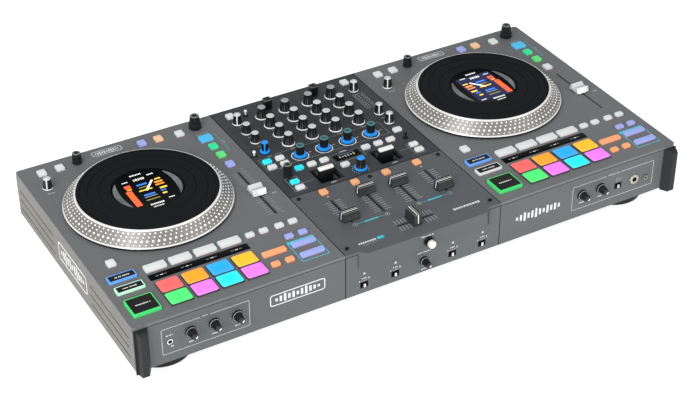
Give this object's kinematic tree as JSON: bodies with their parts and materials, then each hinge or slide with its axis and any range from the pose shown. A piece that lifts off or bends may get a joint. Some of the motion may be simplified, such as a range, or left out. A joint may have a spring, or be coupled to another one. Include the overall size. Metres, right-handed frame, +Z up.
{
  "type": "dj controller",
  "caption": "Motorised two-deck DJ controller with a four-channel mixer, performance pads, pitch faders and round deck screens.",
  "frame": {"origin": "on the table under the middle of the case", "axes": "+X to the player's right, +Y away from the player, +Z up"},
  "size_m": [0.792, 0.417, 0.1114],
  "materials": {
    "pan_metal": "dark grey powder coat",
    "deck_metal": "fine textured dark grey paint",
    "mixer_metal": "fine textured charcoal paint",
    "side_metal": "light warm grey textured paint",
    "bumper_rubber": "matt",
    "foot_rubber": "matt",
    "platter_aluminium": "dark anodised with bright rings",
    "record_plastic": "grooved black vinyl",
    "screen_glass": "black screen glass over closed posts",
    "motor_steel": "plain",
    "board_plastic": "green board",
    "screw_steel": "black oxide",
    "socket_plastic": "black moulding",
    "pad_rubber": "lit translucent pads",
    "button_plastic": "lit translucent caps",
    "silver_plastic": "silver painted",
    "blue_knob_plastic": "blue skirt and teal grey crown",
    "knob_plastic": "black with pale crown",
    "cap_plastic": "black with white line"
  },
  "bodies": {
    "case": {"bottom_pan": "pan_metal", "circuit_boards": "board_plastic", "corner_bumpers": "bumper_rubber", "displays": "screen_glass", "fader_plate": "mixer_metal", "feet": "foot_rubber", "left_deck_cover": "deck_metal", "left_side_panel": "side_metal", "mixer_cover": "mixer_metal", "motor_stators": "motor_steel", "panel_screws": "screw_steel", "right_deck_cover": "deck_metal", "right_side_panel": "side_metal", "small_controls": "knob_plastic", "sockets": "socket_plastic"},
    "left_platter": {"left_platter": "platter_aluminium", "left_record": "record_plastic"},
    "right_platter": {"right_platter": "platter_aluminium", "right_record": "record_plastic"},
    "left_fx_paddle": {"left_fx_paddle": "cap_plastic"},
    "right_fx_paddle": {"right_fx_paddle": "cap_plastic"},
    "left_pitch_cap": {"left_pitch_cap": "silver_plastic"},
    "right_pitch_cap": {"right_pitch_cap": "silver_plastic"},
    "crossfader_cap": {"crossfader_cap": "cap_plastic"},
    "ch1_fader_cap": {"ch1_fader_cap": "cap_plastic"},
    "ch2_fader_cap": {"ch2_fader_cap": "cap_plastic"},
    "ch3_fader_cap": {"ch3_fader_cap": "cap_plastic"},
    "ch4_fader_cap": {"ch4_fader_cap": "cap_plastic"},
    "left_start_button": {"left_start_button": "button_plastic"},
    "right_start_button": {"right_start_button": "button_plastic"},
    "left_pads": {"left_pads": "pad_rubber"},
    "right_pads": {"right_pads": "pad_rubber"},
    "left_deck_buttons": {"left_deck_buttons": "button_plastic"},
    "right_deck_buttons": {"right_deck_buttons": "button_plastic"},
    "mixer_buttons": {"mixer_buttons": "button_plastic"},
    "left_browse_knob": {"left_browse_knob": "knob_plastic"},
    "right_browse_knob": {"right_browse_knob": "knob_plastic"},
    "left_loop_knob": {"left_loop_knob": "knob_plastic"},
    "right_loop_knob": {"right_loop_knob": "knob_plastic"},
    "ch1_filter_knob": {"ch1_filter_knob": "blue_knob_plastic"},
    "ch2_filter_knob": {"ch2_filter_knob": "blue_knob_plastic"},
    "ch3_filter_knob": {"ch3_filter_knob": "blue_knob_plastic"},
    "ch4_filter_knob": {"ch4_filter_knob": "blue_knob_plastic"},
    "fx_level_knob": {"fx_level_knob": "blue_knob_plastic"},
    "ch1_trim_knob": {"ch1_trim_knob": "knob_plastic"},
    "ch1_high_knob": {"ch1_high_knob": "knob_plastic"},
    "ch1_mid_knob": {"ch1_mid_knob": "knob_plastic"},
    "ch1_low_knob": {"ch1_low_knob": "knob_plastic"},
    "ch2_trim_knob": {"ch2_trim_knob": "knob_plastic"},
    "ch2_high_knob": {"ch2_high_knob": "knob_plastic"},
    "ch2_mid_knob": {"ch2_mid_knob": "knob_plastic"},
    "ch2_low_knob": {"ch2_low_knob": "knob_plastic"},
    "ch3_trim_knob": {"ch3_trim_knob": "knob_plastic"},
    "ch3_high_knob": {"ch3_high_knob": "knob_plastic"},
    "ch3_mid_knob": {"ch3_mid_knob": "knob_plastic"},
    "ch3_low_knob": {"ch3_low_knob": "knob_plastic"},
    "ch4_trim_knob": {"ch4_trim_knob": "knob_plastic"},
    "ch4_high_knob": {"ch4_high_knob": "knob_plastic"},
    "ch4_mid_knob": {"ch4_mid_knob": "knob_plastic"},
    "ch4_low_knob": {"ch4_low_knob": "knob_plastic"}
  },
  "joints": [
    {"name": "left_platter_turn", "type": "hinge", "parent": "case", "child": "left_platter", "pos_m": [-0.2723, 0.0388, 0.1002], "axis": [0, 0, 1], "continuous": true},
    {"name": "right_platter_turn", "type": "hinge", "parent": "case", "child": "right_platter", "pos_m": [0.2376, 0.0388, 0.1002], "axis": [0, 0, 1], "continuous": true},
    {"name": "left_fx_paddle_turn", "type": "hinge", "parent": "case", "child": "left_fx_paddle", "pos_m": [-0.0487, -0.023, 0.0832], "axis": [1, 0, 0], "range_deg": [-20, 20]},
    {"name": "right_fx_paddle_turn", "type": "hinge", "parent": "case", "child": "right_fx_paddle", "pos_m": [0.0423, -0.023, 0.0832], "axis": [1, 0, 0], "range_deg": [-20, 20]},
    {"name": "left_pitch_cap_slide", "type": "slide", "parent": "case", "child": "left_pitch_cap", "axis": [0, 1, 0], "range_m": [-0.05, 0.05]},
    {"name": "right_pitch_cap_slide", "type": "slide", "parent": "case", "child": "right_pitch_cap", "axis": [0, 1, 0], "range_m": [-0.05, 0.05]},
    {"name": "crossfader_cap_slide", "type": "slide", "parent": "case", "child": "crossfader_cap", "axis": [1, 0, 0], "range_m": [-0.0195, 0.0255]},
    {"name": "ch1_fader_cap_slide", "type": "slide", "parent": "case", "child": "ch1_fader_cap", "axis": [0, 1, 0], "range_m": [-0.003, 0.042]},
    {"name": "ch2_fader_cap_slide", "type": "slide", "parent": "case", "child": "ch2_fader_cap", "axis": [0, 1, 0], "range_m": [-0.043, 0.002]},
    {"name": "ch3_fader_cap_slide", "type": "slide", "parent": "case", "child": "ch3_fader_cap", "axis": [0, 1, 0], "range_m": [-0.04, 0.005]},
    {"name": "ch4_fader_cap_slide", "type": "slide", "parent": "case", "child": "ch4_fader_cap", "axis": [0, 1, 0], "range_m": [-0.0035, 0.0415]},
    {"name": "left_start_button_slide", "type": "slide", "parent": "case", "child": "left_start_button", "axis": [0, 0, -1], "range_m": [0, 0.0012], "stiffness_N_per_m": 500, "springref_m": -0.002},
    {"name": "right_start_button_slide", "type": "slide", "parent": "case", "child": "right_start_button", "axis": [0, 0, -1], "range_m": [0, 0.0012], "stiffness_N_per_m": 500, "springref_m": -0.002},
    {"name": "left_pads_slide", "type": "slide", "parent": "case", "child": "left_pads", "axis": [0, 0, -1], "range_m": [0, 0.001], "stiffness_N_per_m": 1500, "springref_m": -0.002},
    {"name": "right_pads_slide", "type": "slide", "parent": "case", "child": "right_pads", "axis": [0, 0, -1], "range_m": [0, 0.001], "stiffness_N_per_m": 1500, "springref_m": -0.002},
    {"name": "left_deck_buttons_slide", "type": "slide", "parent": "case", "child": "left_deck_buttons", "axis": [0, 0, -1], "range_m": [0, 0.001], "stiffness_N_per_m": 1500, "springref_m": -0.002},
    {"name": "right_deck_buttons_slide", "type": "slide", "parent": "case", "child": "right_deck_buttons", "axis": [0, 0, -1], "range_m": [0, 0.001], "stiffness_N_per_m": 1500, "springref_m": -0.002},
    {"name": "mixer_buttons_slide", "type": "slide", "parent": "case", "child": "mixer_buttons", "axis": [0, 0, -1], "range_m": [0, 0.001], "stiffness_N_per_m": 1500, "springref_m": -0.002},
    {"name": "left_browse_knob_turn", "type": "hinge", "parent": "case", "child": "left_browse_knob", "pos_m": [-0.1453, 0.1683, 0.0902], "axis": [0, 0, 1], "continuous": true},
    {"name": "right_browse_knob_turn", "type": "hinge", "parent": "case", "child": "right_browse_knob", "pos_m": [0.3646, 0.1683, 0.0902], "axis": [0, 0, 1], "continuous": true},
    {"name": "left_loop_knob_turn", "type": "hinge", "parent": "case", "child": "left_loop_knob", "pos_m": [-0.3173, 0.1673, 0.0902], "axis": [0, 0, 1], "continuous": true},
    {"name": "right_loop_knob_turn", "type": "hinge", "parent": "case", "child": "right_loop_knob", "pos_m": [0.1926, 0.1673, 0.0902], "axis": [0, 0, 1], "continuous": true},
    {"name": "ch1_filter_knob_turn", "type": "hinge", "parent": "case", "child": "ch1_filter_knob", "pos_m": [-0.0543, 0.0365, 0.0902], "axis": [0, 0, 1], "range_deg": [-140, 140]},
    {"name": "ch2_filter_knob_turn", "type": "hinge", "parent": "case", "child": "ch2_filter_knob", "pos_m": [-0.0181, 0.0365, 0.0902], "axis": [0, 0, 1], "range_deg": [-140, 140]},
    {"name": "ch3_filter_knob_turn", "type": "hinge", "parent": "case", "child": "ch3_filter_knob", "pos_m": [0.0181, 0.0365, 0.0902], "axis": [0, 0, 1], "range_deg": [-140, 140]},
    {"name": "ch4_filter_knob_turn", "type": "hinge", "parent": "case", "child": "ch4_filter_knob", "pos_m": [0.0543, 0.0365, 0.0902], "axis": [0, 0, 1], "range_deg": [-140, 140]},
    {"name": "fx_level_knob_turn", "type": "hinge", "parent": "case", "child": "fx_level_knob", "pos_m": [-0.0005, -0.0308, 0.0902], "axis": [0, 0, 1], "range_deg": [-140, 140]},
    {"name": "ch1_trim_knob_turn", "type": "hinge", "parent": "case", "child": "ch1_trim_knob", "pos_m": [-0.0543, 0.1468, 0.0902], "axis": [0, 0, 1], "range_deg": [-140, 140]},
    {"name": "ch1_high_knob_turn", "type": "hinge", "parent": "case", "child": "ch1_high_knob", "pos_m": [-0.0543, 0.1209, 0.0902], "axis": [0, 0, 1], "range_deg": [-140, 140]},
    {"name": "ch1_mid_knob_turn", "type": "hinge", "parent": "case", "child": "ch1_mid_knob", "pos_m": [-0.0543, 0.095, 0.0902], "axis": [0, 0, 1], "range_deg": [-140, 140]},
    {"name": "ch1_low_knob_turn", "type": "hinge", "parent": "case", "child": "ch1_low_knob", "pos_m": [-0.0543, 0.0691, 0.0902], "axis": [0, 0, 1], "range_deg": [-140, 140]},
    {"name": "ch2_trim_knob_turn", "type": "hinge", "parent": "case", "child": "ch2_trim_knob", "pos_m": [-0.0181, 0.1468, 0.0902], "axis": [0, 0, 1], "range_deg": [-140, 140]},
    {"name": "ch2_high_knob_turn", "type": "hinge", "parent": "case", "child": "ch2_high_knob", "pos_m": [-0.0181, 0.1209, 0.0902], "axis": [0, 0, 1], "range_deg": [-140, 140]},
    {"name": "ch2_mid_knob_turn", "type": "hinge", "parent": "case", "child": "ch2_mid_knob", "pos_m": [-0.0181, 0.095, 0.0902], "axis": [0, 0, 1], "range_deg": [-140, 140]},
    {"name": "ch2_low_knob_turn", "type": "hinge", "parent": "case", "child": "ch2_low_knob", "pos_m": [-0.0181, 0.0691, 0.0902], "axis": [0, 0, 1], "range_deg": [-140, 140]},
    {"name": "ch3_trim_knob_turn", "type": "hinge", "parent": "case", "child": "ch3_trim_knob", "pos_m": [0.0181, 0.1468, 0.0902], "axis": [0, 0, 1], "range_deg": [-140, 140]},
    {"name": "ch3_high_knob_turn", "type": "hinge", "parent": "case", "child": "ch3_high_knob", "pos_m": [0.0181, 0.1209, 0.0902], "axis": [0, 0, 1], "range_deg": [-140, 140]},
    {"name": "ch3_mid_knob_turn", "type": "hinge", "parent": "case", "child": "ch3_mid_knob", "pos_m": [0.0181, 0.095, 0.0902], "axis": [0, 0, 1], "range_deg": [-140, 140]},
    {"name": "ch3_low_knob_turn", "type": "hinge", "parent": "case", "child": "ch3_low_knob", "pos_m": [0.0181, 0.0691, 0.0902], "axis": [0, 0, 1], "range_deg": [-140, 140]},
    {"name": "ch4_trim_knob_turn", "type": "hinge", "parent": "case", "child": "ch4_trim_knob", "pos_m": [0.0543, 0.1468, 0.0902], "axis": [0, 0, 1], "range_deg": [-140, 140]},
    {"name": "ch4_high_knob_turn", "type": "hinge", "parent": "case", "child": "ch4_high_knob", "pos_m": [0.0543, 0.1209, 0.0902], "axis": [0, 0, 1], "range_deg": [-140, 140]},
    {"name": "ch4_mid_knob_turn", "type": "hinge", "parent": "case", "child": "ch4_mid_knob", "pos_m": [0.0543, 0.095, 0.0902], "axis": [0, 0, 1], "range_deg": [-140, 140]},
    {"name": "ch4_low_knob_turn", "type": "hinge", "parent": "case", "child": "ch4_low_knob", "pos_m": [0.0543, 0.0691, 0.0902], "axis": [0, 0, 1], "range_deg": [-140, 140]}
  ]
}
